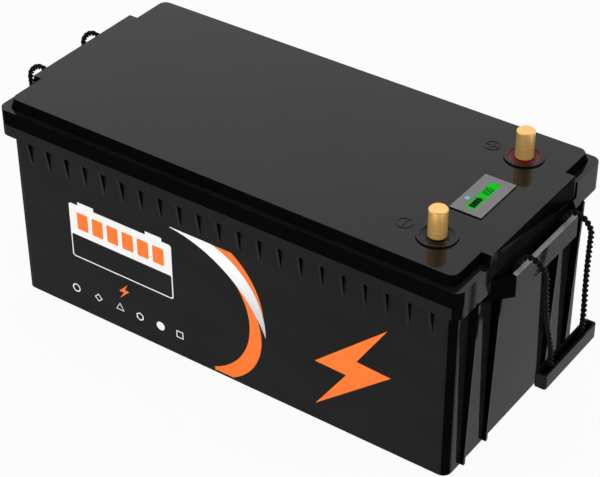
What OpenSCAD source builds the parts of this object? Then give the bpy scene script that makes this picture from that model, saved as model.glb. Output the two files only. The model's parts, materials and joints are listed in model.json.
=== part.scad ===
// Deep cycle battery: a ribbed plastic case with a lid, two brass posts, a charge meter with a
// button, and a rope handle at each end. Inside are eight prismatic cells and their electronics.
// Millimetres, +Z up. The origin is the middle of the underside, +X is the terminal end and
// -Y is the label side.

/* [Case] */
// Length over the rim
rim_l = 522; // [460:1:640]
// Width over the rim
rim_w = 254; // [210:1:310]
// Height of the case up to the lid joint
case_h = 200.5; // [190:0.5:245]
// Thickness of the case walls
wall = 3.5; // [2.5:0.1:4.5]
// Thickness of the case floor
floor_t = 4; // [3:0.5:6]
// How far the rim stands out from the end walls
end_overhang = 7.5; // [6:0.5:9]
// How far the rim stands out from the long walls
side_overhang = 8; // [6:0.5:10]
// Height of the rim band on the case
collar_h = 12.5; // [10:0.5:15]
// Corner radius of the rim
rim_r = 10; // [8:0.5:12]
// Thickness of the gussets and fins
rib_t = 3; // [2:0.1:4]
// Distance between gussets
rib_pitch = 23; // [20:1:28]
// Height of the gussets
rib_h = 30; // [24:1:36]

/* [Lid] */
// Height of the lid's skirt
skirt_h = 16.5; // [14:0.5:20]
// Height of the raised top above the skirt
step_h = 10; // [8:0.5:14]
// Thickness of the lid
lid_t = 3; // [2.5:0.1:4]
// Half width of the bump at each end of the raised top
bump_half = 74; // [60:1:80]
// Width of the seal between the lid and the case
seal_w = 3.5; // [3:0.1:4]
// Thickness of the seal
seal_t = 2.5; // [2:0.1:3]

/* [Terminals] */
// Diameter of the posts
post_d = 17.5; // [14:0.1:21]
// Height of the posts above the raised top
post_h = 29; // [20:0.5:34]
// Distance between the posts
post_spacing = 151; // [130:1:160]
// Distance from the post axis to the end of the rim
post_inset = 54.5; // [48:0.5:70]
// Width of the insulator ring round each post
insulator_rim = 6.8; // [5:0.1:8]
// Width of the moulded ring round each insulator
boss_rim = 3.6; // [3:0.1:6]
// Diameter of the studs below the posts
stud_d = 10; // [8:1:12]

/* [Meter] */
// Length of the meter, across the battery
meter_l = 62.5; // [56:0.5:70]
// Width of the meter
meter_w = 32.5; // [28:0.5:36]
// Height of the meter above the raised top
meter_rise = 1.2; // [0.8:0.1:2]
// Length of the display
lcd_l = 46; // [36:0.5:50]
// Width of the display
lcd_w = 10; // [8:0.5:12]
// Diameter of the button
button_d = 5.4; // [4:0.1:6]
// Travel of the button
button_travel = 0.6; // [0.4:0.1:1]

/* [Handles] */
// Diameter of the rope
rope_d = 6; // [5:0.1:7.5]
// Distance between the two holes of a rope
rope_spacing = 82; // [70:1:90]
// Length of the handle bar
bar_l = 95; // [80:1:110]
// Width of the handle bar
bar_w = 12; // [10:0.5:14]
// Height of the handle bar
bar_h = 15.5; // [12:0.5:18]
// How far the handle block stands out from the rim
block_out = 15; // [13:0.5:18]
// Height of the handle block
block_h = 22.5; // [20:0.5:26]
// Thickness of the lip round the handle block
lip_t = 5; // [4:0.5:6]

/* [Cells] */
// Thickness of a cell
cell_t = 50; // [41:0.1:52]
// Width of a cell
cell_w = 160; // [130:1:170]
// Height of a cell
cell_h = 118.5; // [90:0.5:122]
// Thickness of the spacers between the cells
spacer_t = 1; // [0.5:0.1:1.5]
// Distance between the two studs of a cell
cell_stud_spacing = 100; // [80:1:120]
// Diameter of the cell studs
cell_stud_d = 6; // [5:1:8]

/* [Hidden] */
cell_n = 8;
CELLS = [for (i = [1:cell_n]) str("cell_", i)];

$fn = 48;
// Small step that sinks one shape of a solid into the next
lap = 1;
// Working clearance round pieces that are put in by hand
fit = 0.2;

// Case
body_l = rim_l - 2 * end_overhang;
body_w = rim_w - 2 * side_overhang;
body_r = rim_r - 1;
cavity_l = body_l - 2 * wall;
cavity_w = body_w - 2 * wall;
cavity_r = body_r - wall;
collar_z = case_h - collar_h;
gusset_out = side_overhang - 2.8;
gusset_n = 2 * floor((body_l / 2 - 20) / rib_pitch) + 1;
outer_fin_y = body_w / 2 - 25;
inner_fin_y = body_w / 2 - 65;
fin_y = [-outer_fin_y, -inner_fin_y, inner_fin_y, outer_fin_y];
fin_foot = end_overhang - 3.5;
fin_head = end_overhang + 1.5;

// Handle block
block_x = rim_l / 2 + block_out;
block_half = 55.5;
block_slant = 1.2;
block_z = case_h - block_h;
lip_across = lip_t * sqrt(1 + block_slant * block_slant);
groove_in = rim_l / 2;
groove_out = block_x - lip_t;
groove_z = collar_z;
rope_clear = 0.5;
rope_x = (groove_in + groove_out) / 2;
knot_d = 2 * rope_d + 1;
knot_h = 5.6;
knot_seat_z = block_z + 6;

// Lid
ledge_z = case_h + skirt_h;
top_z = ledge_z + step_h;
foot_l = rim_l - 18;
foot_w = rim_w - 11;
plateau_l = foot_l - 4;
plateau_w = foot_w - 6.6;
plateau_r = rim_r - 2;
bump_x = rim_l / 2 - 1;
bump_back = rim_l / 2 - 3.5;
bump_foot = bump_half + 5.5;
seal_in = 3;

// Terminals
insulator_d = post_d + 2 * insulator_rim + fit;
boss_d = insulator_d + 2 * boss_rim;
post_x = rim_l / 2 - post_inset;
post_y = post_spacing / 2;
boss_h = 1.5;
boss_z = top_z + boss_h;
ceiling_z = top_z - lid_t;
collar_t = 3;
collar_d = insulator_d + 8;
flange_d = post_d + 7.5;
foot_d = post_d + 0.8;
flange_t = 4;
flange_z = ceiling_z - collar_t - flange_t;
lug_t = 3;
washer_t = 1.5;
nut_h = 8;
washer_z = flange_z - lug_t - washer_t;
nut_z = washer_z - nut_h;
stud_z = nut_z - 3;

// Meter
meter_x = post_x + 2.4;
meter_y = -2;
neck_l = meter_l - 4;
neck_w = meter_w - 4;
neck_wall = 1.2;
neck_z = top_z - 7.4;
plate_z = top_z - 1;
board_t = 1.6;
switch_h = 2.6;
button_x = meter_x - 9.6;
button_y = meter_y - 11.5;

// Ropes, as the right handle's points. The arc over the lip is X outward from the hole and Z
// above the groove floor. A leg is X outward and Y inward from the arc's end, and how far it drops.
arc = [[0, -4], [0, 3], [0.6, 8], [2, 13], [5, 19], [9.5, 23.5], [15, 25.2], [20.5, 24], [25.5, 20.5],
    [29, 16], [30.8, 12.5], [31, 11.5]];
leg = [[0, 0, 0], [0, 0, 3], [0.3, 1, 16], [0.8, 2.4, 30], [1.7, 4.2, 44], [3, 6.4, 58],
    [4.6, 8.8, 72], [6, 11, 86]];
leg_out = leg[len(leg) - 1][0];
leg_in = leg[len(leg) - 1][1];
pivot_x = rope_x + 31;
pivot_z = groove_z + 10;
bar_x = pivot_x + leg_out;
bar_drop = 100.5;
channel_w = rope_d + 2;
channel_depth = bar_h - 5;
bar_top_z = pivot_z - bar_drop;
rope_floor_z = bar_top_z - channel_depth + rope_d / 2;
turn_r = 12;

// Cells, from the floor up
pad_t = 4;
cell_z = floor_t + pad_t;
cell_pitch = cell_t + spacer_t;
row_l = cell_n * cell_pitch - spacer_t;
plate_t = 3;
pack_l = row_l + 2 * plate_t;
cell_top = cell_z + cell_h;
cell_pad_h = 3;
busbar_t = 2;
busbar_w = 20;
busbar_z = cell_top + cell_pad_h;
cell_nut_h = 5;
cell_stud_h = 9;
cell_nut_z = busbar_z + busbar_t;
strap_t = 0.8;
strap_w = 15;
board_z = cell_z + 132;
top_board_t = 2;
top_board_l = pack_l;
top_board_w = cavity_w - 8;
cable_hole_x = 25;

// Electronics on the top board
bms_l = 200;
bms_w = 90;
bms_t = 2;
bms_pad_h = 6;
bms_z = board_z + top_board_t + bms_pad_h;
bms_hole_l = bms_l - 14;
bms_hole_w = bms_w - 14;
cable_d = 8;
harness_d = 5;
bms_block_l = 16;
bms_block_h = 16;
bms_block_z = bms_z + bms_t;
stud_side = cell_stud_spacing / 2;
first_stud_x = -(row_l - cell_t) / 2;
last_stud_x = -first_stud_x;
front_y = -body_w / 2;
film_t = 0.25;

function cell_x(i) = first_stud_x + i * cell_pitch;

// ---- Helpers ----

module rounded_rect(l, w, r) {
    square([l - 2 * r, w], center = true);
    square([l, w - 2 * r], center = true);
    for (x = [-1, 1], y = [-1, 1])
        translate([x * (l / 2 - r), y * (w / 2 - r)])
            circle(r);
}

module slab(l, w, h, r, z) {
    translate([0, 0, z])
        linear_extrude(h)
            rounded_rect(l, w, r);
}

module block(l, w, h, x, y, z) {
    translate([x - l / 2, y - w / 2, z])
        cube([l, w, h]);
}

module both_ends() {
    children();
    mirror([1, 0, 0])
        children();
}

module at_posts() {
    for (side = [-1, 1])
        translate([post_x, side * post_y, 0])
            children();
}

// An outline in X and Z, given a thickness outward from the front wall
module on_front(t = film_t) {
    translate([0, front_y, 0])
        rotate([90, 0, 0])
            linear_extrude(t)
                children();
}

module hex_nut(across, h, bore) {
    difference() {
        cylinder(h = h, d = across / cos(30), $fn = 6);
        translate([0, 0, -lap])
            cylinder(h = h + 2 * lap, d = bore);
    }
}

// A round cord swept along a list of points
function unit(v) = v / norm(v);
function heading(p, i) =
    unit(p[min(i + 1, len(p) - 1)] - p[max(i - 1, 0)]);
// A frame carried along the cord without twisting
function carried(u, d) = unit(u - (u * d) * d);
function frames(p, i = 0, u = [1, 0, 0]) =
    i >= len(p) ? [] :
    let (d = heading(p, i), w = carried(u, d)) concat([w], frames(p, i + 1, w));

module cord(p, d, n = 10, start = [0.3, 0.9, 0.2]) {
    f = frames(p, 0, carried(start, heading(p, 0)));
    rings = [for (i = [0:len(p) - 1])
        let (t = heading(p, i), v = cross(t, f[i]))
        for (k = [0:n - 1]) p[i] + d / 2 * (cos(360 * k / n) * f[i] + sin(360 * k / n) * v)];
    sides = [for (i = [0:len(p) - 2], k = [0:n - 1])
        [i * n + k, (i + 1) * n + k, (i + 1) * n + (k + 1) % n, i * n + (k + 1) % n]];
    first = [for (k = [0:n - 1]) k];
    last = [for (k = [n - 1:-1:0]) (len(p) - 1) * n + k];
    polyhedron(rings, concat(sides, [first, last]));
}

// ---- Case ----

module gussets() {
    half = (gusset_n - 1) / 2;
    for (k = [-half:half], side = [0, 1])
        mirror([0, side, 0])
            translate([k * rib_pitch, 0, 0])
                rotate([90, 0, 90])
                    linear_extrude(rib_t, center = true)
                        polygon([
                            [body_w / 2 - lap, collar_z + lap],
                            [body_w / 2 + gusset_out, collar_z + lap],
                            [body_w / 2 + gusset_out, collar_z],
                            [body_w / 2, collar_z - rib_h],
                            [body_w / 2 - lap, collar_z - rib_h]]);
}

module end_fins() {
    for (y = fin_y)
        translate([0, y, 0])
            rotate([90, 0, 0])
                linear_extrude(rib_t, center = true)
                    polygon([
                        [body_l / 2 - lap, 0],
                        [body_l / 2 + fin_foot, 0],
                        [body_l / 2 + fin_head, block_z],
                        [body_l / 2 + fin_head, collar_z - lap / 2],
                        [rim_l / 2 - lap, collar_z + lap],
                        [body_l / 2 - lap, collar_z + lap]]);
}

// Half width of the handle block at a distance from the middle of the battery
function block_half_at(x) = block_half + (block_x - x) * block_slant;

module block_outline(in_x, out_x, inset) {
    polygon([
        [in_x, -block_half_at(in_x) + inset],
        [out_x, -block_half_at(out_x) + inset],
        [out_x, block_half_at(out_x) - inset],
        [in_x, block_half_at(in_x) - inset]]);
}

module handle_block() {
    translate([0, 0, block_z])
        linear_extrude(block_h)
            block_outline(body_l / 2 - lap, block_x, 0);
}

module handle_block_cuts() {
    translate([0, 0, groove_z])
        linear_extrude(collar_h + lap)
            block_outline(groove_in, groove_out, lip_across);
    for (side = [-1, 1])
        translate([rope_x, side * rope_spacing / 2, 0]) {
            translate([0, 0, block_z - lap])
                cylinder(h = block_h, d = rope_d + 2 * rope_clear);
            translate([0, 0, block_z - lap])
                cylinder(h = knot_seat_z - block_z + lap, d = knot_d + 2 * rope_clear);
        }
}

module case_shell() {
    color("#1c1d20")
        difference() {
            union() {
                slab(body_l, body_w, case_h, body_r, 0);
                slab(rim_l, rim_w, collar_h, rim_r, collar_z);
                gussets();
                both_ends() {
                    end_fins();
                    handle_block();
                }
            }
            slab(cavity_l, cavity_w, case_h, cavity_r, floor_t);
            seal_band(case_h - seal_t, seal_t + lap);
            both_ends()
                handle_block_cuts();
        }
}

// ---- Lid ----

module seal_band(z, h) {
    difference() {
        slab(cavity_l + 2 * (seal_in + seal_w), cavity_w + 2 * (seal_in + seal_w), h,
            cavity_r + seal_in + seal_w, z);
        slab(cavity_l + 2 * seal_in, cavity_w + 2 * seal_in, h + 2 * lap,
            cavity_r + seal_in, z - lap);
    }
}

module bump_outline(half) {
    polygon([[0, -bump_foot], [bump_back, -bump_foot], [bump_x, -half], [bump_x, half],
        [bump_back, bump_foot], [0, bump_foot]]);
}

module plateau() {
    hull() {
        slab(foot_l, foot_w, 0.1, plateau_r, ledge_z - 0.1, $fn = 32);
        slab(plateau_l, plateau_w, 0.1, plateau_r, top_z - 0.1, $fn = 32);
    }
}

module end_bump() {
    hull() {
        translate([0, 0, ledge_z - 0.1])
            linear_extrude(0.1)
                polygon([[0, -bump_foot], [bump_x, -bump_foot + 3], [bump_x, bump_foot - 3],
                    [0, bump_foot]]);
        translate([0, 0, top_z - 0.1])
            linear_extrude(0.1)
                polygon([[0, -bump_half], [bump_x, -bump_half], [bump_x, bump_half],
                    [0, bump_half]]);
    }
}

module skirt() {
    difference() {
        slab(rim_l, rim_w, skirt_h, rim_r, case_h);
        both_ends()
            translate([bump_back, -bump_foot, case_h - lap])
                cube([end_overhang, 2 * bump_foot, skirt_h + 2 * lap]);
    }
    both_ends()
        translate([0, 0, case_h])
            linear_extrude(skirt_h)
                bump_outline(bump_half + 2.5);
}

module polarity_mark(plus) {
    ring_r = 8;
    arm = 12.6;
    line = 1.4;
    mark_h = 0.5;
    linear_extrude(mark_h)
        difference() {
            circle(ring_r);
            circle(ring_r - line);
        }
    block(line, arm, mark_h, 0, 0, 0);
    if (plus)
        block(arm, line, mark_h, 0, 0, 0);
}

module lid() {
    mark_x = post_x - 33.5;
    color("#26272a")
        difference() {
            union() {
                skirt();
                plateau();
                both_ends()
                    end_bump();
                at_posts()
                    translate([0, 0, top_z - lap])
                        cylinder(h = boss_h + lap, d = boss_d);
                translate([mark_x, post_y, top_z])
                    polarity_mark(true);
                translate([mark_x, -post_y, top_z])
                    polarity_mark(false);
            }
            slab(plateau_l - 2 * lid_t, min(cavity_w, plateau_w - 2 * lid_t),
                ceiling_z - case_h + lap, cavity_r, case_h - lap);
            at_posts()
                translate([0, 0, ceiling_z - lap])
                    cylinder(h = lid_t + boss_h + 2 * lap, d = insulator_d + fit);
            block(neck_w + fit, neck_l + fit, lid_t + 2 * lap, meter_x, meter_y, ceiling_z - lap);
        }
}

module lid_seal() {
    color("#2f2f2f")
        seal_band(case_h - seal_t, seal_t);
}

// ---- Terminals ----

module post() {
    edge = 0.8;
    color("#c89a4b") {
        rotate_extrude()
            polygon([[0, flange_z], [flange_d / 2, flange_z], [flange_d / 2, flange_z + flange_t],
                [foot_d / 2, flange_z + flange_t], [foot_d / 2, boss_z], [post_d / 2, boss_z],
                [post_d / 2, top_z + post_h - edge], [post_d / 2 - edge, top_z + post_h],
                [0, top_z + post_h]]);
        translate([0, 0, stud_z])
            cylinder(h = flange_z - stud_z + lap, d = stud_d);
    }
}

module terminal_post_negative() {
    translate([post_x, -post_y, 0])
        post();
}

module terminal_post_positive() {
    translate([post_x, post_y, 0])
        post();
}

// A bush through the lid with a dished top, and a collar that seats under the lid
module insulator() {
    bore_r = (foot_d + fit) / 2;
    rim = insulator_d / 2;
    edge = 0.8;
    dish_r = (rim - bore_r) / 2 - edge;
    dish_depth = 1.6;
    rotate_extrude()
        polygon(concat([[bore_r, flange_z + flange_t], [collar_d / 2, flange_z + flange_t],
            [collar_d / 2, ceiling_z], [rim, ceiling_z], [rim, boss_z]],
            [for (a = [0:22.5:180])
                [(rim + bore_r) / 2 + dish_r * cos(a), boss_z - dish_depth * sin(a)]],
            [[bore_r, boss_z]]));
}

module terminal_insulator_negative() {
    color("#151515")
        translate([post_x, -post_y, 0])
            insulator();
}

module terminal_insulator_positive() {
    color("#a3101a")
        translate([post_x, post_y, 0])
            insulator();
}

module terminal_washers() {
    color("#b9bcc0")
        at_posts()
            translate([0, 0, washer_z])
                difference() {
                    cylinder(h = washer_t, d = 2.1 * stud_d);
                    translate([0, 0, -lap])
                        cylinder(h = washer_t + 2 * lap, d = stud_d + 2 * fit);
                }
}

module terminal_nuts() {
    color("#b9bcc0")
        at_posts()
            translate([0, 0, nut_z])
                hex_nut(1.7 * stud_d, nut_h, stud_d);
}

// ---- Meter ----

module meter_bezel() {
    color("#85878c")
        difference() {
            union() {
                block(meter_w, meter_l, meter_rise, meter_x, meter_y, top_z);
                block(neck_w, neck_l, top_z + lap / 2 - neck_z, meter_x, meter_y, neck_z);
            }
            block(neck_w - 2 * neck_wall, neck_l - 2 * neck_wall, plate_z - neck_z + lap,
                meter_x, meter_y, neck_z - lap);
            block(lcd_w + fit, lcd_l + fit, 4, meter_x, meter_y, plate_z - lap);
            translate([button_x, button_y, plate_z - lap])
                cylinder(h = 4, d = button_d + 2 * fit);
        }
}

module meter_display() {
    color("#1fd63a") {
        block(lcd_w + 2, lcd_l + 2, 1.5, meter_x, meter_y, plate_z - 1.5);
        block(lcd_w, lcd_l, meter_rise + 0.8 + lap / 2, meter_x, meter_y, plate_z - lap / 2);
    }
}

module meter_backlight() {
    color("#f2f2ec")
        block(lcd_w + 2, lcd_l + 2, plate_z - 1.5 - neck_z, meter_x, meter_y, neck_z);
}

module meter_board() {
    color("#1c5b34")
        block(neck_w, neck_l, board_t, meter_x, meter_y, neck_z - board_t);
}

module meter_switch() {
    color("#22252a")
        block(4, 6, switch_h, button_x, button_y, neck_z);
}

module meter_button() {
    stop_d = button_d + 0.9;
    nub_z = neck_z + switch_h + button_travel + 0.1;
    face_z = top_z + meter_rise + 0.8;
    edge = 0.3;
    color("#9fc4d6")
        translate([button_x, button_y, 0])
            rotate_extrude()
                polygon([[0, nub_z], [1.5, nub_z], [1.5, plate_z - 1], [stop_d / 2, plate_z - 1],
                    [stop_d / 2, plate_z], [button_d / 2, plate_z], [button_d / 2, face_z - edge],
                    [button_d / 2 - edge, face_z], [0, face_z]]);
}

// Runs from the meter board down to the electronics
meter_route = [
    [meter_x - 4, meter_y + 22, neck_z - board_t],
    [meter_x - 4, meter_y + 22, neck_z - board_t - 12],
    [meter_x - 10, meter_y + 22, neck_z - board_t - 24],
    [meter_x - 26, meter_y + 20, neck_z - board_t - 36],
    [meter_x - 50, meter_y + 14, neck_z - board_t - 44],
    [bms_l / 2 + 16, 6, bms_block_z + 8],
    [bms_l / 2, 4, bms_block_z + 7],
    [bms_l / 2 - 12, 4, bms_block_z + 7]];

module meter_cable() {
    color("#202020")
        cord(meter_route, 4, 8);
}

// ---- Printed film on the front wall ----

badge_x0 = -185.5;
badge_x1 = -58;
badge_z0 = 67;
badge_z1 = 131.5;
badge_split = 95;
badge_line = 1.3;
tab_l = 20;
tab_h = 4;
tab_inset = 11.5;
block_n = 6;
block_h_print = 20;

module badge_outline() {
    translate([(badge_x0 + badge_x1) / 2, (badge_z0 + badge_z1) / 2])
        rounded_rect(badge_x1 - badge_x0, badge_z1 - badge_z0, 3);
    for (x = [badge_x0 + tab_inset, badge_x1 - tab_inset - tab_l])
        translate([x, badge_z1 - lap])
            square([tab_l, tab_h + lap]);
}

module panel_outline() {
    translate([(badge_x0 + badge_x1) / 2, (badge_z0 + badge_line + badge_split) / 2])
        rounded_rect(badge_x1 - badge_x0 - 2 * badge_line, badge_split - badge_z0 - badge_line,
            2);
}

module charge_blocks(z, h, gap) {
    pitch = (badge_x1 - badge_x0 - 14) / block_n;
    for (i = [0:block_n - 1])
        translate([badge_x0 + 7 + (i + 0.5) * pitch, z + h / 2])
            rounded_rect(pitch - gap, h, 1.5);
}

module label_badge() {
    color("#f4f4f2")
        on_front()
            difference() {
                badge_outline();
                panel_outline();
                charge_blocks(badge_split + 8, block_h_print, 5);
            }
}

module label_panel() {
    color("#1d1d1f")
        on_front()
            panel_outline();
}

module label_blocks() {
    color("#f26a21")
        on_front()
            charge_blocks(badge_split + 8, block_h_print, 5);
}

icon_x = [-185, -156, -128, -102.5, -76.5, -52.5];
icon_z = 26;
icon_r = 5;
icon_line = 1.4;

module ring_outline(r, n) {
    difference() {
        circle(r, $fn = n);
        circle(r - icon_line, $fn = n);
    }
}

module label_icons() {
    color("#e8e8e6")
        on_front() {
            translate([icon_x[0], icon_z])
                ring_outline(icon_r, 48);
            translate([icon_x[1], icon_z])
                ring_outline(icon_r, 4);
            translate([icon_x[2], icon_z])
                rotate(90)
                    ring_outline(icon_r + 1, 3);
            translate([icon_x[3], icon_z])
                rotate(30)
                    ring_outline(icon_r, 6);
            translate([icon_x[4], icon_z])
                circle(icon_r);
            translate([icon_x[5], icon_z])
                rotate(45)
                    ring_outline(icon_r + 1, 4);
        }
}

swoosh_top = 153.5;
swoosh_foot = 3;
// Circles whose differences make the crescents, as X, Z and radius
silver_outer = [-33, 72, 85];
silver_inner = [-72, 20, 133.5];
orange_outer = [-22, 63, 69];
orange_inner = [-40, 73.5, 73.5];
trim_outer = [-33, 85, 83];
trim_inner = [-33, 72, 85.5];

module disc(c) {
    translate([c[0], c[1]])
        circle(c[2], $fn = 96);
}

// What the outer circle has beyond the inner one, to the right of left
module crescent(outer, inner, left) {
    intersection() {
        translate([left, swoosh_foot])
            square([120, swoosh_top - swoosh_foot]);
        difference() {
            disc(outer);
            disc(inner);
        }
    }
}

module label_swoosh_silver() {
    color("#d9dce0")
        on_front()
            crescent(silver_outer, silver_inner, -60);
}

module label_swoosh_orange() {
    color("#f26a21")
        on_front() {
            difference() {
                crescent(orange_outer, orange_inner, -10);
                crescent(silver_outer, silver_inner, -60);
            }
            crescent(trim_outer, trim_inner, -20);
        }
}

module label_bolt() {
    color("#f26a21")
        on_front() {
            polygon([[186, 140], [108, 70], [143, 69], [109, 19], [191, 88], [154, 90]]);
            polygon([[-116, 59], [-127.5, 47.5], [-121.5, 47.5], [-127, 39], [-114.5, 51],
                [-120.5, 51]]);
        }
}

// ---- Rope handles ----

function arc_points(side) =
    [for (p = arc) [rope_x + p[0], side * rope_spacing / 2, groove_z + p[1]]];

// Down one leg, along the bar and up the other leg
turn_steps = 4;
leg_y = rope_spacing / 2;
turn_y = leg_y - leg_in;
turn_z = rope_floor_z + turn_r;
half_loop = concat(
    [for (p = leg) [pivot_x + p[0], p[1] - leg_y, pivot_z - p[2]]],
    [for (k = [0:turn_steps])
        [bar_x, turn_r * (1 - cos(90 * k / turn_steps)) - turn_y,
            turn_z - turn_r * sin(90 * k / turn_steps)]],
    [[bar_x, -6, rope_floor_z]]);
loop_points = concat(half_loop,
    [for (i = [len(half_loop) - 1:-1:0]) [half_loop[i][0], -half_loop[i][1], half_loop[i][2]]]);

module rope_ends() {
    color("#1a1a1a")
        for (side = [-1, 1])
            cord(concat(arc_points(side), [[pivot_x, side * leg_y, pivot_z]]), rope_d, 10);
}

module rope_loop() {
    color("#1a1a1a")
        cord(loop_points, rope_d, 10);
}

module rope_knots() {
    color("#1a1a1a")
        for (side = [-1, 1])
            translate([rope_x, side * leg_y, knot_seat_z - knot_h])
                rotate_extrude()
                    polygon([[0, 0], [knot_d / 2 - 2, 0], [knot_d / 2, 2], [knot_d / 2, knot_h - 2],
                        [knot_d / 2 - 2, knot_h], [0, knot_h]]);
}

// A trough with round ends: the rope lies in its open top
module handle_bar() {
    bar_z = bar_top_z - bar_h;
    bar_r = 2.5;
    color("#161616")
        difference() {
            slab_at(bar_x, bar_w, bar_l, bar_h, bar_r, bar_z);
            slab_at(bar_x, channel_w, bar_l - 4, channel_depth + lap, channel_w / 2 - 0.1,
                bar_top_z - channel_depth);
        }
}

module slab_at(x, l, w, h, r, z) {
    translate([x, 0, 0])
        slab(l, w, h, r, z);
}

module rope_ends_right() { rope_ends(); }
module rope_loop_right() { rope_loop(); }
module rope_knots_right() { rope_knots(); }
module handle_bar_right() { handle_bar(); }
module rope_ends_left() { mirror([1, 0, 0]) rope_ends(); }
module rope_loop_left() { mirror([1, 0, 0]) rope_loop(); }
module rope_knots_left() { mirror([1, 0, 0]) rope_knots(); }
module handle_bar_left() { mirror([1, 0, 0]) handle_bar(); }

// ---- Cells ----

// Polarity alternates, so the studs link in a row
module cell(i) {
    x = cell_x(i);
    color("#2d63a8")
        difference() {
            union() {
                block(cell_t, cell_w, cell_h, x, 0, cell_z);
                for (side = [-1, 1])
                    translate([x, side * stud_side, cell_top - lap]) {
                        cylinder(h = cell_pad_h + lap, d = 3 * cell_stud_d);
                        cylinder(h = cell_pad_h + cell_stud_h + lap, d = cell_stud_d);
                    }
            }
            translate([x, 0, cell_top - 0.8])
                cylinder(h = lap, d = 16);
        }
}

module cell_spacers() {
    color("#e9e6da")
        for (i = [0:cell_n - 2])
            block(spacer_t, cell_w, cell_h - 6, cell_x(i) + cell_pitch / 2, 0, cell_z);
}

module end_plates() {
    color("#b9bcc0")
        for (side = [-1, 1])
            block(plate_t, cell_w, cell_h - 10, side * (row_l + plate_t) / 2, 0, cell_z);
}

module cell_straps() {
    color("#8f9296")
        for (z = [cell_z + 25, cell_z + 80])
            difference() {
                block(pack_l + 2 * strap_t, cell_w + 2 * strap_t, strap_w, 0, 0, z);
                block(pack_l, cell_w, strap_w + 2 * lap, 0, 0, z - lap);
            }
}

module busbars() {
    color("#c47a3d")
        for (i = [0:cell_n - 2])
            let (side = i % 2 == 0 ? -1 : 1)
                difference() {
                    block(cell_pitch + busbar_w, busbar_w, busbar_t,
                        cell_x(i) + cell_pitch / 2, side * stud_side, busbar_z);
                    for (x = [cell_x(i), cell_x(i + 1)])
                        translate([x, side * stud_side, busbar_z - lap])
                            cylinder(h = busbar_t + 2 * lap, d = cell_stud_d + fit);
                }
}

module busbar_nuts() {
    color("#b9bcc0")
        for (i = [0:cell_n - 1], side = [-1, 1])
            translate([cell_x(i), side * stud_side, cell_nut_z])
                hex_nut(10, cell_nut_h, cell_stud_d);
}

// ---- Packing ----

module base_pad() {
    color("#3d3f42")
        slab(cavity_l, cavity_w, pad_t, cavity_r, floor_t);
}

module end_foam() {
    foam_t = (cavity_l - pack_l) / 2 - strap_t;
    color("#303236")
        for (side = [-1, 1])
            block(foam_t, cell_w, cell_h, side * (cavity_l - foam_t) / 2, 0, cell_z);
}

module side_foam() {
    foam_t = (cavity_w - cell_w) / 2 - strap_t;
    color("#303236")
        for (side = [-1, 1])
            block(pack_l, foam_t, board_z - cell_z, 0, side * (cavity_w - foam_t) / 2, cell_z);
}

module top_board() {
    color("#d8cfa2")
        difference() {
            block(top_board_l, top_board_w, top_board_t, 0, 0, board_z);
            translate([first_stud_x + cable_hole_x, stud_side, board_z - lap])
                cylinder(h = top_board_t + 2 * lap, d = cable_d + 8);
            bms_holes(board_z - lap);
        }
}

// ---- Electronics ----

module at_bms_holes() {
    for (x = [-1, 1], y = [-1, 1])
        translate([x * bms_hole_l / 2, y * bms_hole_w / 2, 0])
            children();
}

module bms_holes(z) {
    at_bms_holes()
        translate([0, 0, z])
            cylinder(h = 6, d = 3.2);
}

module bms_board() {
    color("#1d5f3a")
        difference() {
            block(bms_l, bms_w, bms_t, 0, 0, bms_z);
            bms_holes(bms_z - lap);
        }
}

module bms_pads() {
    color("#c9c9c4")
        at_bms_holes()
            translate([0, 0, board_z + top_board_t])
                difference() {
                    cylinder(h = bms_pad_h, d = 8);
                    translate([0, 0, -lap])
                        cylinder(h = bms_pad_h + 2 * lap, d = 3.2);
                }
}

module bms_screws() {
    color("#b9bcc0")
        at_bms_holes() {
            translate([0, 0, bms_z + bms_t])
                cylinder(h = 2.4, d = 6);
            translate([0, 0, board_z - 1])
                cylinder(h = bms_z + bms_t - board_z + 2, d = 3);
        }
}

module bms_heatsink() {
    sink_l = 130;
    sink_w = 64;
    sink_t = 4;
    fin_t = 2;
    fin_h = 14;
    fin_pitch = 8;
    color("#a9adb2") {
        block(sink_l, sink_w, sink_t, 0, 0, bms_block_z);
        for (y = [(fin_t - sink_w) / 2:fin_pitch:sink_w / 2])
            block(sink_l, fin_t, fin_h, 0, y, bms_block_z);
    }
}

module bms_terminals() {
    color("#c47a3d")
        for (side = [-1, 1])
            block(bms_block_l, 24, bms_block_h, side * (bms_l / 2 - 10), -22 * side, bms_block_z);
}

module balance_connector() {
    color("#eceae0")
        block(12, 24, 14, bms_l / 2 - 18, 12, bms_block_z);
}

// ---- Internal cables ----

lug_low = flange_z - lug_t;
lug_out = 17;
cell_lug_out = 13;

positive_route = [
    [last_stud_x + cell_lug_out, stud_side, busbar_z + 1],
    [last_stud_x + cell_lug_out + 8, stud_side, busbar_z + 3],
    [last_stud_x + 33, stud_side, busbar_z + 7],
    [last_stud_x + 42, stud_side + 2, busbar_z + 16],
    [last_stud_x + 47, stud_side + 7, busbar_z + 32],
    [post_x + lug_out + 10, post_y - 8, lug_low - 30],
    [post_x + lug_out + 10, post_y - 1, lug_low - 14],
    [post_x + lug_out + 7, post_y, lug_low - 4],
    [post_x + lug_out + 2, post_y, lug_low + 1.5],
    [post_x + lug_out - 2, post_y, lug_low + 1.5]];

module cable_positive() {
    color("#c2181f")
        cord(positive_route, cable_d, 10);
}

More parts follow.
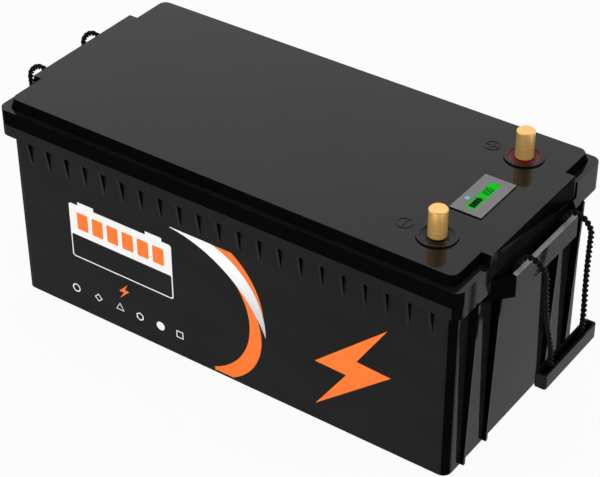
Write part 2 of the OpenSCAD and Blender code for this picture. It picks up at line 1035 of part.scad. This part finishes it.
negative_route = [
    [first_stud_x + cell_lug_out, stud_side, busbar_z + 1],
    [first_stud_x + cell_lug_out + 6, stud_side, busbar_z + 3],
    [first_stud_x + cable_hole_x - 2, stud_side, busbar_z + 8],
    [first_stud_x + cable_hole_x, stud_side, board_z + 4],
    [first_stud_x + cable_hole_x + 4, stud_side - 2, bms_block_z + 2],
    [first_stud_x + cable_hole_x + 14, stud_side - 10, bms_block_z + 8],
    [-bms_l / 2 - 14, 24, bms_block_z + 8],
    [-bms_l / 2 - 4, 22, bms_block_z + 8],
    [-bms_l / 2 + 2, 22, bms_block_z + 8]];

module cable_negative() {
    color("#161616")
        cord(negative_route, cable_d, 10);
}

output_route = [
    [bms_l / 2 - 2, -22, bms_block_z + 8],
    [bms_l / 2 + 12, -22, bms_block_z + 8],
    [bms_l / 2 + 34, -30, bms_block_z + 12],
    [bms_l / 2 + 54, -48, bms_block_z + 24],
    [post_x - lug_out - 22, -post_y + 8, lug_low - 18],
    [post_x - lug_out - 10, -post_y, lug_low - 4],
    [post_x - lug_out - 1, -post_y, lug_low + 1.5]];

module cable_output() {
    color("#161616")
        cord(output_route, cable_d, 10);
}

// A ring with a flat tongue along X
module lug(bore, out, t) {
    difference() {
        union() {
            cylinder(h = t, d = 2 * bore);
            translate([0, -bore * 0.7, 0])
                cube([out, bore * 1.4, t]);
        }
        translate([0, 0, -lap])
            cylinder(h = t + 2 * lap, d = bore + fit);
    }
}

module cable_lugs() {
    color("#d0b070") {
        translate([post_x, post_y, lug_low])
            lug(stud_d, lug_out, lug_t);
        translate([post_x, -post_y, lug_low])
            mirror([1, 0, 0])
                lug(stud_d, lug_out, lug_t);
        for (x = [first_stud_x, last_stud_x])
            translate([x, stud_side, busbar_z])
                lug(cell_stud_d, cell_lug_out, busbar_t);
    }
}

module balance_harness() {
    route = [
        [bms_l / 2 - 12, 14, bms_block_z + 8],
        [bms_l / 2 + 4, 14, bms_block_z + 8],
        [bms_l / 2 + 12, 22, bms_block_z + 6],
        [bms_l / 2 + 14, 40, board_z + 8],
        [bms_l / 2 + 10, 66, board_z + top_board_t + harness_d / 2],
        [bms_l / 2 - 20, 84, board_z + top_board_t + harness_d / 2],
        [0, 86, board_z + top_board_t + harness_d / 2],
        [-bms_l / 2, 86, board_z + top_board_t + harness_d / 2],
        [-bms_l / 2 - 70, 86, board_z + top_board_t + harness_d / 2]];
    color("#2a2a2a")
        cord(route, harness_d, 8);
}

module temperature_probe() {
    color("#d8d8d8")
        block(14, 6, 4, -53, -67, board_z + top_board_t);
}

case_shell();  // case
lid();
lid_seal();
terminal_post_negative();
terminal_post_positive();
terminal_insulator_negative();
terminal_insulator_positive();
terminal_washers();
terminal_nuts();
meter_bezel();
meter_display();
meter_backlight();
meter_board();
meter_switch();
meter_button();
meter_cable();
label_badge();
label_panel();
label_blocks();
label_icons();
label_swoosh_silver();
label_swoosh_orange();
label_bolt();
rope_ends_left();
rope_loop_left();
rope_knots_left();
handle_bar_left();
rope_ends_right();
rope_loop_right();
rope_knots_right();
handle_bar_right();
for (i = [0:cell_n - 1])
    cell(i);
cell_spacers();
end_plates();
cell_straps();
busbars();
busbar_nuts();
base_pad();
end_foam();
side_foam();
top_board();
bms_board();
bms_heatsink();
bms_pads();
bms_screws();
bms_terminals();
cable_positive();
cable_negative();
cable_output();
cable_lugs();
balance_harness();
balance_connector();
temperature_probe();
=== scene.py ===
"""Deep cycle battery: looks, camera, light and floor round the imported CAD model. Metres, +Z up."""

import json
import math

import bpy
from mathutils import Matrix, Vector


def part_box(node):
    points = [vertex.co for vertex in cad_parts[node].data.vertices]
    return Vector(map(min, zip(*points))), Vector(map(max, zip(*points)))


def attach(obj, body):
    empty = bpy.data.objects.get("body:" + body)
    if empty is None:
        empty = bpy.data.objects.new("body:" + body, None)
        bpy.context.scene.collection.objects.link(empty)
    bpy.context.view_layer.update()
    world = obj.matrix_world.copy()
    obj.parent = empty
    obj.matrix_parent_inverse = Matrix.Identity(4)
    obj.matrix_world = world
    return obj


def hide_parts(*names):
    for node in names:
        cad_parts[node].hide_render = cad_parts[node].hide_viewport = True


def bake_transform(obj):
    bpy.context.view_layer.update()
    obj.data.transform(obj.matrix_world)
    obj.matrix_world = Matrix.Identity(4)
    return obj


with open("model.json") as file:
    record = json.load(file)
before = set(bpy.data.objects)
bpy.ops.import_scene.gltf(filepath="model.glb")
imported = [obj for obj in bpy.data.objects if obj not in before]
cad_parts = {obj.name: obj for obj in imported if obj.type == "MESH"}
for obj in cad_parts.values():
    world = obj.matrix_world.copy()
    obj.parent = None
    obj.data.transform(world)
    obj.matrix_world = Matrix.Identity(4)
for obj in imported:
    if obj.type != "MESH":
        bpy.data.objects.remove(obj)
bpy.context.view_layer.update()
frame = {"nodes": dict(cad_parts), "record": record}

MM = 0.001
NODES = frame["nodes"]

# ---- Camera: the photograph's view ----

CAMERA_AZIMUTH = 35.38
CAMERA_ELEVATION = 35.93
CAMERA_ROLL = -0.24
CAMERA_PLACE = (0.8665, -1.2099, 1.1717)
CAMERA_LENS = 111.93


def make_camera():
    data = bpy.data.cameras.new("camera")
    data.lens = CAMERA_LENS
    data.sensor_width = 36
    data.clip_start, data.clip_end = 0.05, 50
    camera = bpy.data.objects.new("camera", data)
    bpy.context.scene.collection.objects.link(camera)
    turn = Matrix.Rotation(math.radians(CAMERA_AZIMUTH), 4, "Z")
    tilt = Matrix.Rotation(math.radians(90 - CAMERA_ELEVATION), 4, "X")
    roll = Matrix.Rotation(math.radians(CAMERA_ROLL), 4, "Z")
    camera.matrix_world = Matrix.Translation(CAMERA_PLACE) @ turn @ tilt @ roll
    bpy.context.scene.camera = camera


# ---- Mesh helpers ----

def new_mesh(name, points, faces, smooth=False):
    mesh = bpy.data.meshes.new(name)
    mesh.from_pydata([tuple(p) for p in points], [], faces)
    mesh.validate()
    mesh.update()
    for polygon in mesh.polygons:
        polygon.use_smooth = smooth
    piece = bpy.data.objects.new(name, mesh)
    bpy.context.scene.collection.objects.link(piece)
    return piece


def dressed(piece, material, body):
    """Gives a new piece its material and its body."""
    piece.data.materials.append(material)
    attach(piece, body)
    return piece


SWEEP_UP = (0.3, 0.9, 0.2)


def sweep(path, ring):
    """Points and faces of a capped tube. ring(t) lists the (across, up) offsets t along the path."""
    points, faces = [], []
    up = Vector(SWEEP_UP)
    travelled = 0.0
    count = 0
    for i, place in enumerate(path):
        ahead = (path[min(i + 1, len(path) - 1)] - path[max(i - 1, 0)]).normalized()
        up = (up - up.dot(ahead) * ahead).normalized()
        across = ahead.cross(up)
        if i:
            travelled += (place - path[i - 1]).length
        offsets = ring(travelled)
        count = len(offsets)
        points += [place + across * a + up * b for a, b in offsets]
    for i in range(len(path) - 1):
        for k in range(count):
            n = (k + 1) % count
            faces.append((i * count + k, (i + 1) * count + k, (i + 1) * count + n, i * count + n))
    faces.append(tuple(range(count)))
    faces.append(tuple((len(path) - 1) * count + k for k in range(count))[::-1])
    return points, faces


def smooth_path(points, step):
    """A Catmull-Rom curve through the points, cut into steps of about the given length."""
    pts = [points[0] * 2 - points[1]] + points + [points[-1] * 2 - points[-2]]
    path = []
    for i in range(1, len(pts) - 2):
        a, b, c, d = pts[i - 1:i + 3]
        cuts = max(1, round((c - b).length / step))
        for k in range(cuts):
            t = k / cuts
            path.append(0.5 * (2 * b + (c - a) * t + (2 * a - 5 * b + 4 * c - d) * t ** 2
                               + (3 * b - a - 3 * c + d) * t ** 3))
    return path + [points[-1]]


# ---- Material helpers ----

class Nodes:
    """A material's node tree with short ways to add and link nodes."""

    def __init__(self, name):
        self.material = bpy.data.materials.new(name)
        self.material.use_nodes = True
        self.tree = self.material.node_tree
        self.shader = self.tree.nodes["Principled BSDF"]
        self.place = self.add("ShaderNodeTexCoord").outputs["Object"]

    def add(self, kind, **settings):
        node = self.tree.nodes.new(kind)
        for key, value in settings.items():
            setattr(node, key, value)
        return node

    def link(self, source, target):
        self.tree.links.new(source, target)

    def noise(self, scale, detail=3.0, stretch=(1, 1, 1)):
        mapping = self.add("ShaderNodeMapping")
        mapping.inputs["Scale"].default_value = stretch
        self.link(self.place, mapping.inputs["Vector"])
        noise = self.add("ShaderNodeTexNoise")
        noise.inputs["Scale"].default_value = scale
        noise.inputs["Detail"].default_value = detail
        self.link(mapping.outputs["Vector"], noise.inputs["Vector"])
        return noise.outputs["Fac"]

    def ranged(self, source, low, high, start=0.3, end=0.7):
        node = self.add("ShaderNodeMapRange")
        node.inputs["From Min"].default_value = start
        node.inputs["From Max"].default_value = end
        node.inputs["To Min"].default_value = low
        node.inputs["To Max"].default_value = high
        self.link(source, node.inputs["Value"])
        return node.outputs["Result"]

    def between(self, source, dark, light):
        mix = self.add("ShaderNodeMix", data_type="RGBA")
        mix.inputs["A"].default_value = (*dark, 1)
        mix.inputs["B"].default_value = (*light, 1)
        self.link(source, mix.inputs["Factor"])
        return mix.outputs["Result"]

    def bump(self, height, strength, distance, after=None):
        node = self.add("ShaderNodeBump")
        node.inputs["Strength"].default_value = strength
        node.inputs["Distance"].default_value = distance
        self.link(height, node.inputs["Height"])
        if after:
            self.link(after, node.inputs["Normal"])
        return node.outputs["Normal"]

    def set(self, **values):
        for key, value in values.items():
            self.shader.inputs[key.replace("_", " ")].default_value = value

    def colour(self, source):
        self.link(source, self.shader.inputs["Base Color"])

    def roughness(self, source):
        self.link(source, self.shader.inputs["Roughness"])

    def normal(self, source):
        self.link(source, self.shader.inputs["Normal"])


def shade(colour, factor):
    return tuple(min(1.0, c * factor) for c in colour)


def surface(name, colour, rough, vary=0.15, ior=1.45, metal=0.0, grain=900, bump=0.05,
            depth=0.0002, patch=25):
    """A general finish: slow colour change, uneven roughness and a fine grain."""
    n = Nodes(name)
    n.set(IOR=ior, Metallic=metal)
    slow = n.noise(patch, 4)
    n.colour(n.between(n.ranged(slow, 0, 1), shade(colour, 1 - vary), shade(colour, 1 + vary)))
    n.roughness(n.ranged(n.noise(patch * 3, 5), rough * 0.85, rough * 1.2))
    n.normal(n.bump(n.noise(grain, 2), bump, depth))
    return n.material


# ---- Materials ----

def moulded_black(name, colour, rough, ior):
    """Injection moulded black plastic: faint flow marks, a very fine grain and rubbed patches."""
    n = Nodes(name)
    n.set(IOR=ior)
    flow = n.noise(9, 4, (1, 1, 2.5))
    n.colour(n.between(n.ranged(flow, 0, 1), shade(colour, 0.85), shade(colour, 1.2)))
    rub = n.noise(40, 6)
    n.roughness(n.ranged(rub, rough * 0.8, rough * 1.3, 0.35, 0.7))
    fine = n.bump(n.noise(2200, 2), 0.06, 0.00005)
    n.normal(n.bump(n.noise(30, 3), 0.04, 0.0004, fine))
    return n.material


def turned_brass():
    """Machined brass: fine rings from the lathe and a warm, slightly uneven tint."""
    n = Nodes("turned_brass")
    n.set(Metallic=0.6)
    split = n.add("ShaderNodeSeparateXYZ")
    n.link(n.place, split.inputs["Vector"])
    rings = n.add("ShaderNodeTexNoise", noise_dimensions="1D")
    rings.inputs["Scale"].default_value = 3500
    rings.inputs["Detail"].default_value = 2
    n.link(split.outputs["Z"], rings.inputs["W"])
    tint = n.noise(60, 4)
    n.colour(n.between(n.ranged(tint, 0, 1), (1.0, 0.56, 0.17), (1.0, 0.64, 0.22)))
    n.roughness(n.ranged(rings.outputs["Fac"], 0.2, 0.34))
    n.normal(n.bump(rings.outputs["Fac"], 0.25, 0.00006))
    return n.material


def lit_display():
    """A lit green display with a faint pixel grid."""
    n = Nodes("lit_display")
    n.set(Roughness=0.2, Emission_Strength=0.35, IOR=1.1)
    cells = n.add("ShaderNodeTexVoronoi")
    cells.inputs["Scale"].default_value = 2200
    n.link(n.place, cells.inputs["Vector"])
    glow = n.between(n.ranged(cells.outputs["Distance"], 0, 1, 0, 0.6), (0.005, 0.6, 0.012),
                     (0.003, 0.48, 0.01))
    n.colour(glow)
    n.link(glow, n.shader.inputs["Emission Color"])
    return n.material


def rope_fibre():
    """Black polyester yarn: fine fibres along the strands and a waxy gloss."""
    n = Nodes("rope_fibre")
    n.set(IOR=1.16)
    fibre = n.noise(1800, 3, (1, 1, 0.35))
    n.colour(n.between(n.ranged(fibre, 0, 1), (0.001, 0.001, 0.001), (0.005, 0.005, 0.005)))
    n.roughness(n.ranged(n.noise(500, 3), 0.3, 0.5))
    n.normal(n.bump(fibre, 0.25, 0.00015))
    return n.material


# Heights between which a film's first colour turns into its second
FADE_LOW, FADE_HIGH = 0.06, 0.135


def printed(name, colour, second=None):
    """Printed film: a fine screen grain, and a slow change to a second colour if there is one."""
    n = Nodes(name)
    n.set(IOR=1.35)
    if second:
        split = n.add("ShaderNodeSeparateXYZ")
        n.link(n.place, split.inputs["Vector"])
        fade = n.ranged(split.outputs["Z"], 1, 0, FADE_LOW, FADE_HIGH)
        n.colour(n.between(fade, colour, second))
    else:
        n.colour(n.between(n.ranged(n.noise(70, 4), 0, 1), shade(colour, 0.96), shade(colour, 1.03)))
    n.roughness(n.ranged(n.noise(120, 3), 0.38, 0.5))
    n.normal(n.bump(n.noise(1800, 2), 0.04, 0.0001))
    return n.material


def brushed(name, colour, rough, metal=1.0):
    """Metal or paint brushed along X."""
    n = Nodes(name)
    n.set(Metallic=metal)
    lines = n.noise(60, 6, (1, 30, 1))
    n.colour(n.between(n.ranged(lines, 0, 1), shade(colour, 0.9), shade(colour, 1.08)))
    n.roughness(n.ranged(lines, rough * 0.8, rough * 1.2))
    n.normal(n.bump(lines, 0.08, 0.0001))
    return n.material


def make_materials():
    orange = (1.0, 0.19, 0.018)
    return {
        "case_plastic": moulded_black("case_plastic", (0.011, 0.011, 0.0113), 0.08, 1.14),
        "case_wall": moulded_black("case_wall", (0.009, 0.009, 0.0092), 0.04, 1.14),
        "lid_plastic": moulded_black("lid_plastic", (0.009, 0.009, 0.0092), 0.08, 1.35),
        # Painted shade: a near-black, dull plastic that hardly reflects, for faces that lie in shade
        "shaded_plastic": moulded_black("shaded_plastic", (0.002, 0.002, 0.0021), 0.35, 1.03),
        # Painted highlight: a light grey plastic for the handle blocks' lip tops, standing in for
        # their bright reflection
        "rubbed_plastic": moulded_black("rubbed_plastic", (0.3, 0.3, 0.305), 0.3, 1.5),
        "seal_rubber": surface("seal_rubber", (0.03, 0.03, 0.03), 0.7),
        "post_brass": turned_brass(),
        "insulator_black": surface("insulator_black", (0.0008, 0.0008, 0.0008), 0.05, ior=1.33),
        "insulator_red": surface("insulator_red", (0.13, 0.0, 0.004), 0.05, ior=1.33),
        "steel": brushed("steel", (0.6, 0.61, 0.62), 0.35),
        "bezel_grey": brushed("bezel_grey", (0.2, 0.2, 0.205), 0.38, metal=0.0),
        "display_green": lit_display(),
        "display_ink": surface("display_ink", (0.001, 0.004, 0.001), 0.4, ior=1.1),
        "white_plastic": surface("white_plastic", (0.82, 0.81, 0.77), 0.45),
        "circuit_board": surface("circuit_board", (0.03, 0.2, 0.08), 0.35),
        "dark_plastic": surface("dark_plastic", (0.04, 0.04, 0.04), 0.4),
        "button_blue": surface("button_blue", (0.3, 0.52, 0.6), 0.3),
        "cable_black": surface("cable_black", (0.02, 0.02, 0.02), 0.5),
        "film_white": printed("film_white", (0.9, 0.9, 0.89)),
        "film_black": moulded_black("film_black", (0.009, 0.009, 0.0092), 0.04, 1.14),
        "film_orange": printed("film_orange", orange),
        "film_silver": printed("film_silver", (0.95, 0.95, 0.95), (0.4, 0.42, 0.46)),
        "rope": rope_fibre(),
        "grip_plastic": moulded_black("grip_plastic", (0.01, 0.01, 0.01), 0.15, 1.14),
        "cell_wrap": surface("cell_wrap", (0.03, 0.12, 0.4), 0.3),
        "aluminium_plate": brushed("aluminium_plate", (0.6, 0.61, 0.62), 0.35),
        "copper": brushed("copper", (0.72, 0.35, 0.18), 0.3),
        "foam": surface("foam", (0.03, 0.03, 0.035), 0.9, grain=1500, bump=0.4, depth=0.0006),
        "epoxy_board": surface("epoxy_board", (0.6, 0.55, 0.3), 0.4),
        "cable_red": surface("cable_red", (0.5, 0.02, 0.02), 0.5),
        "tinned_lug": brushed("tinned_lug", (0.65, 0.63, 0.58), 0.3),
    }


def paint_nodes(materials):
    """Every CAD node takes the material of its record slot."""
    for row in frame["record"]["subparts"]:
        mesh = NODES[row["node"]].data
        mesh.materials.clear()
        mesh.materials.append(materials[row["material_slot"]])


def paint_faces(node, materials, chosen):
    """Gives faces of a CAD node the material that chosen(normal, middle) names, if it names one."""
    mesh = NODES[node].data
    slots = {}
    for polygon in mesh.polygons:
        name = chosen(polygon.normal, polygon.center)
        if name is None:
            continue
        if name not in slots:
            mesh.materials.append(materials[name])
            slots[name] = len(mesh.materials) - 1
        polygon.material_index = slots[name]


# How squarely a face has to point along an axis
STEEP = 0.9
FLAT = 0.995
# Where walls, the handle blocks' lips, the lid's ledge and the posts' feet lie, in metres
WALL_X = 0.2535
WALL_Y = 0.119
LIP_INNER_X = 0.2705
LEDGE_Z = 0.217
FOOT_Z = 0.2286
PLAY = 0.5 * MM


def case_finish_and_painted_light(normal, middle):
    """End walls keep the case's gloss and long walls have less; the lip tops get a painted highlight
    and the rest gets painted shade, a dull near-black plastic.
    """
    x, y = abs(middle.x), abs(middle.y)
    # Tops of the lips: painted highlight; other tops, sides and hollows: painted shade
    if normal.z > STEEP:
        return "rubbed_plastic" if x > LIP_INNER_X else "shaded_plastic"
    if abs(normal.x) > STEEP:
        end_wall = x > WALL_X - PLAY and y < WALL_Y + PLAY
        return None if end_wall else "shaded_plastic"
    if abs(normal.y) > STEEP and x < WALL_X and y > WALL_Y - PLAY:
        return "case_wall"
    return "shaded_plastic"


def lid_finish_and_painted_shade(normal, middle):
    """The lid's flat tops and the ends of its skirt are glossy, and its slopes and other sides get
    painted shade, a dull near-black plastic.
    """
    if normal.z > STEEP:
        return None
    if abs(normal.x) > FLAT and middle.z < LEDGE_Z:
        return "case_plastic"
    return "shaded_plastic"


def bezel_painted_shade(normal, middle):
    """The bezel's sides get painted shade, a dull near-black plastic."""
    return None if normal.z > STEEP else "shaded_plastic"


def post_foot_painted_shade(normal, middle):
    """The foot inside the insulator gets painted shade: the black insulator material."""
    return "insulator_black" if middle.z < FOOT_Z else None


# ---- Rope handles ----

GROOVE_FLOOR = 0.188
ROPE_RADIUS = 3 * MM
HOLE_X = 0.266
LEG_Y = 0.041
PIVOT = Vector((0.297, 0, 0.198))
BAR_ROPE_Z = 0.09
TURN_RADIUS = 12 * MM
TURN_STEPS = 4
BAR_END_Y = 6 * MM
# Millimetres: the arc over the lip as X outward from the hole and Z above the groove floor
ARC = [(0, -4), (0, 3), (0.6, 8), (2, 13), (5, 19), (9.5, 23.5), (15, 25.2), (20.5, 24),
       (25.5, 20.5), (29, 16), (30.8, 12.5), (31, 11.5)]
# A hanging leg as X outward and Y inward from the arc's end, and how far it drops
LEG = [(0, 0, 0), (0, 0, 3), (0.3, 1, 16), (0.8, 2.4, 30), (1.7, 4.2, 44), (3, 6.4, 58),
       (4.6, 8.8, 72), (6, 11, 86)]


def rope_route():
    """Centreline of the right rope, from the knot at -Y to the knot at +Y."""
    half = [Vector((HOLE_X + x * MM, -LEG_Y, GROOVE_FLOOR + z * MM)) for x, z in ARC]
    half += [Vector((PIVOT.x + x * MM, y * MM - LEG_Y, PIVOT.z - drop * MM))
             for x, y, drop in LEG]
    bar_x, turn_y = half[-1].x, half[-1].y
    turn_z = BAR_ROPE_Z + TURN_RADIUS
    for k in range(TURN_STEPS + 1):
        angle = math.radians(90 * k / TURN_STEPS)
        half.append(Vector((bar_x, turn_y + TURN_RADIUS * (1 - math.cos(angle)),
                            turn_z - TURN_RADIUS * math.sin(angle))))
    half.append(Vector((bar_x, -BAR_END_Y, BAR_ROPE_Z)))
    return half + [Vector((p.x, -p.y, p.z)) for p in reversed(half)]


ROPE_STEP = 0.5 * MM
STRANDS = 2
STRAND_SHARE = 0.56
STRAND_LAY = 10 * MM
RING_POINTS = 36


def strand_ring(travelled):
    """Outline of the twisted strands, turned by how far along the rope it lies."""
    strand = ROPE_RADIUS * STRAND_SHARE
    centre = ROPE_RADIUS - strand
    twist = travelled / STRAND_LAY * math.tau
    sector = math.tau / STRANDS
    offsets = []
    for k in range(RING_POINTS):
        angle = math.tau * k / RING_POINTS
        off = (angle - twist + sector / 2) % sector - sector / 2
        depth = strand ** 2 - (centre * math.sin(off)) ** 2
        reach = centre * math.cos(off) + math.sqrt(max(0.0, depth))
        offsets.append((reach * math.cos(angle), reach * math.sin(angle)))
    return offsets


def make_rope(end, sign, materials):
    route = [Vector((sign * p.x, p.y, p.z)) for p in rope_route()]
    path = smooth_path(route, ROPE_STEP)
    points, faces = sweep(path, strand_ring)
    rope = new_mesh(f"rope_{end}", points, faces, smooth=True)
    rope.data.materials.append(materials["rope"])
    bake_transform(rope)
    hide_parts(f"rope_ends_{end}", f"rope_loop_{end}")
    knots = make_knots(end, sign, materials)


KNOT_RADIUS = 3.6 * MM
KNOT_TURNS = 1.35
KNOT_STEPS = 90
KNOT_CLOSING = 0.25
KNOT_SQUEEZE = 0.92


def knot_ring(travelled):
    """Outline of the rope where the knot squeezes it."""
    return [(a * KNOT_SQUEEZE, b * KNOT_SQUEEZE) for a, b in strand_ring(travelled)]


def make_knots(end, sign, materials):
    """A knot in the seat under each hole: a turn and a third of the rope, closing inward."""
    low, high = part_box(f"rope_knots_{end}")
    points, faces = [], []
    for side in (-1, 1):
        path = []
        for i in range(KNOT_STEPS + 1):
            share = i / KNOT_STEPS
            angle = math.tau * KNOT_TURNS * share
            reach = KNOT_RADIUS * (1 - KNOT_CLOSING * share)
            path.append(Vector((sign * HOLE_X + reach * math.cos(angle),
                                side * LEG_Y + reach * math.sin(angle),
                                (low.z + high.z) / 2)))
        ring_points, ring_faces = sweep(path, knot_ring)
        faces += [tuple(i + len(points) for i in face) for face in ring_faces]
        points += ring_points
    knots = new_mesh(f"knots_{end}", points, faces, smooth=True)
    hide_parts(f"rope_knots_{end}")
    return dressed(knots, materials["rope"], "battery")


# ---- Meter display ----

# Strokes of a seven-stroke digit as (across, up) to (across, up), in shares of its size
SEGMENTS = {"a": (0, 1, 1, 1), "b": (1, 0.5, 1, 1), "c": (1, 0, 1, 0.5), "d": (0, 0, 1, 0),
            "e": (0, 0, 0, 0.5), "f": (0, 0.5, 0, 1)}
DIGITS = {"1": "bc", "0": "abcdef"}
READING = "100"
INK = 0.9 * MM
INK_DEPTH = 0.06 * MM
DIGIT_TALL = 6.4 * MM
DIGIT_WIDE = 2.9 * MM
DIGIT_GAP = 1.9 * MM
READING_OFFSET = 0.8 * MM
CHARGE_BARS = 4
CHARGE_START = 3.2 * MM
CHARGE_PITCH = 4 * MM
CHARGE_BAR = 3.7 * MM
CHARGE_TIP = 1 * MM
CHARGE_TIP_SHARE = 0.4


def flat_box(low, high, z0, z1):
    """Corners and sides of a box between two (x, y) corners and two heights."""
    (x0, y0), (x1, y1) = low, high
    corners = [(x, y, z) for z in (z0, z1) for x, y in ((x0, y0), (x1, y0), (x1, y1), (x0, y1))]
    sides = [(0, 3, 2, 1), (4, 5, 6, 7), (0, 1, 5, 4), (1, 2, 6, 5), (2, 3, 7, 6), (3, 0, 4, 7)]
    return corners, sides


def joined(name, boxes):
    points, faces = [], []
    for corners, sides in boxes:
        faces += [tuple(i + len(points) for i in side) for side in sides]
        points += corners
    return new_mesh(name, points, faces)


def digit_boxes(digit, middle, start_y, top):
    """One digit, read from -Y to +Y, with its top towards -X."""
    boxes = []
    for name in DIGITS[digit]:
        u0, v0, u1, v1 = SEGMENTS[name]
        foot = middle + DIGIT_TALL / 2
        x0, x1 = sorted((foot - v0 * DIGIT_TALL, foot - v1 * DIGIT_TALL))
        boxes.append(flat_box((x0 - INK / 2, start_y + u0 * DIGIT_WIDE - INK / 2),
                              (x1 + INK / 2, start_y + u1 * DIGIT_WIDE + INK / 2),
                              top, top + INK_DEPTH))
    return boxes


def charge_boxes(middle, start_y, top):
    """A battery sign: full bars and the tip at the far end."""
    half = DIGIT_TALL / 2
    spans = [(half, i * CHARGE_PITCH, i * CHARGE_PITCH + CHARGE_BAR) for i in range(CHARGE_BARS)]
    tip_y = CHARGE_BARS * CHARGE_PITCH
    spans.append((half * CHARGE_TIP_SHARE, tip_y, tip_y + CHARGE_TIP))
    return [flat_box((middle - reach, start_y + y0), (middle + reach, start_y + y1),
                     top, top + INK_DEPTH) for reach, y0, y1 in spans]


def make_display_marks(materials):
    low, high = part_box("meter_display")
    middle = (low.x + high.x) / 2
    reading_y = (low.y + high.y) / 2 + READING_OFFSET
    boxes = []
    for i, digit in enumerate(READING):
        boxes += digit_boxes(digit, middle, reading_y + i * (DIGIT_WIDE + DIGIT_GAP), high.z)
    boxes += charge_boxes(middle, low.y + CHARGE_START, high.z)
    marks = joined("display_marks", boxes)
    dressed(marks, materials["display_ink"], "battery")


# ---- Stage and light ----

FLOOR_HALF = 6
FLOOR_Z = -0.6 * MM
FLOOR_GLOW = 0.93
SOFT_LIGHT = 0.72


def make_floor():
    """A pale floor that mostly glows to the camera and in reflections, and keeps a faint shadow."""
    around = ((-1, -1), (1, -1), (1, 1), (-1, 1))
    floor = new_mesh("floor", [(x * FLOOR_HALF, y * FLOOR_HALF, FLOOR_Z) for x, y in around],
                     [(0, 1, 2, 3)])
    n = Nodes("floor")
    n.set(Roughness=0.9)
    n.colour(n.between(n.ranged(n.noise(3, 3), 0, 1), (0.88, 0.88, 0.88), (0.9, 0.9, 0.9)))
    path = n.add("ShaderNodeLightPath")
    glow = n.add("ShaderNodeEmission")
    seen = n.add("ShaderNodeMath", operation="ADD", use_clamp=True)
    n.link(path.outputs["Is Camera Ray"], seen.inputs[0])
    n.link(path.outputs["Is Glossy Ray"], seen.inputs[1])
    share = n.add("ShaderNodeMath", operation="MULTIPLY")
    share.inputs[1].default_value = FLOOR_GLOW
    n.link(seen.outputs["Value"], share.inputs[0])
    mix = n.add("ShaderNodeMixShader")
    n.link(share.outputs["Value"], mix.inputs["Fac"])
    n.link(n.shader.outputs["BSDF"], mix.inputs[1])
    n.link(glow.outputs["Emission"], mix.inputs[2])
    n.link(mix.outputs["Shader"], n.tree.nodes["Material Output"].inputs["Surface"])
    floor.data.materials.append(n.material)


# The room's dark side: its direction, and how far towards it a ray points as the dark sets in
FRONT = (0.58, -0.81, 0)
FRONT_START, FRONT_END = 0.05, 0.45
FRONT_DARK = 0.08


def front_shade(tree, path):
    """Strength of the white: 1, but dark in reflections of the room in front of the battery."""
    place = tree.nodes.new("ShaderNodeTexCoord")
    facing = tree.nodes.new("ShaderNodeVectorMath")
    facing.operation = "DOT_PRODUCT"
    facing.inputs[1].default_value = FRONT
    fall = tree.nodes.new("ShaderNodeMapRange")
    fall.inputs["From Min"].default_value = FRONT_START
    fall.inputs["From Max"].default_value = FRONT_END
    fall.inputs["To Min"].default_value = 1.0
    fall.inputs["To Max"].default_value = FRONT_DARK
    seen = tree.nodes.new("ShaderNodeMath")
    seen.operation = "MAXIMUM"
    tree.links.new(place.outputs["Generated"], facing.inputs[0])
    tree.links.new(facing.outputs["Value"], fall.inputs["Value"])
    tree.links.new(fall.outputs["Result"], seen.inputs[0])
    tree.links.new(path.outputs["Is Camera Ray"], seen.inputs[1])
    return seen.outputs["Value"]


def make_world():
    """White to the camera, a room with a dark front in reflections, soft grey light elsewhere."""
    world = bpy.data.worlds.new("world")
    bpy.context.scene.world = world
    world.use_nodes = True
    tree = world.node_tree
    tree.nodes.clear()
    path = tree.nodes.new("ShaderNodeLightPath")
    white = tree.nodes.new("ShaderNodeBackground")
    white.inputs["Color"].default_value = (1, 1, 1, 1)
    soft = tree.nodes.new("ShaderNodeBackground")
    soft.inputs["Strength"].default_value = SOFT_LIGHT
    first = tree.nodes.new("ShaderNodeMath")
    first.operation = "ADD"
    second = tree.nodes.new("ShaderNodeMath")
    second.operation = "ADD"
    second.use_clamp = True
    mix = tree.nodes.new("ShaderNodeMixShader")
    out = tree.nodes.new("ShaderNodeOutputWorld")
    links = tree.links
    links.new(path.outputs["Is Camera Ray"], first.inputs[0])
    links.new(path.outputs["Is Glossy Ray"], first.inputs[1])
    links.new(first.outputs["Value"], second.inputs[0])
    links.new(path.outputs["Is Transmission Ray"], second.inputs[1])
    links.new(second.outputs["Value"], mix.inputs["Fac"])
    links.new(front_shade(tree, path), white.inputs["Strength"])
    links.new(soft.outputs["Background"], mix.inputs[1])
    links.new(white.outputs["Background"], mix.inputs[2])
    links.new(mix.outputs["Shader"], out.inputs["Surface"])


def make_lamp(name, place, aim, size, power):
    data = bpy.data.lights.new(name, "AREA")
    data.shape = "DISK"
    data.size = size
    data.energy = power
    lamp = bpy.data.objects.new(name, data)
    bpy.context.scene.collection.objects.link(lamp)
    lamp.location = place
    lamp.rotation_euler = (Vector(aim) - Vector(place)).to_track_quat("-Z", "Y").to_euler()


def make_lights():
    centre = (0, 0, 0.12)
    make_lamp("key", (0.2, -2.6, 0.75), centre, size=1.2, power=30)
    make_lamp("side", (2.5, -0.3, 0.7), centre, size=1.0, power=8)
    make_lamp("top", (-0.6, 1.6, 2.6), centre, size=0.7, power=6)


# ---- Build ----

bpy.context.scene.view_settings.view_transform = "Standard"
make_camera()
materials = make_materials()
for end, sign in (("left", -1), ("right", 1)):
    make_rope(end, sign, materials)
paint_nodes(materials)
paint_faces("case", materials, case_finish_and_painted_light)
paint_faces("lid", materials, lid_finish_and_painted_shade)
paint_faces("meter_bezel", materials, bezel_painted_shade)
for pole in ("negative", "positive"):
    paint_faces(f"terminal_post_{pole}", materials, post_foot_painted_shade)
make_display_marks(materials)
make_floor()
make_world()
make_lights()
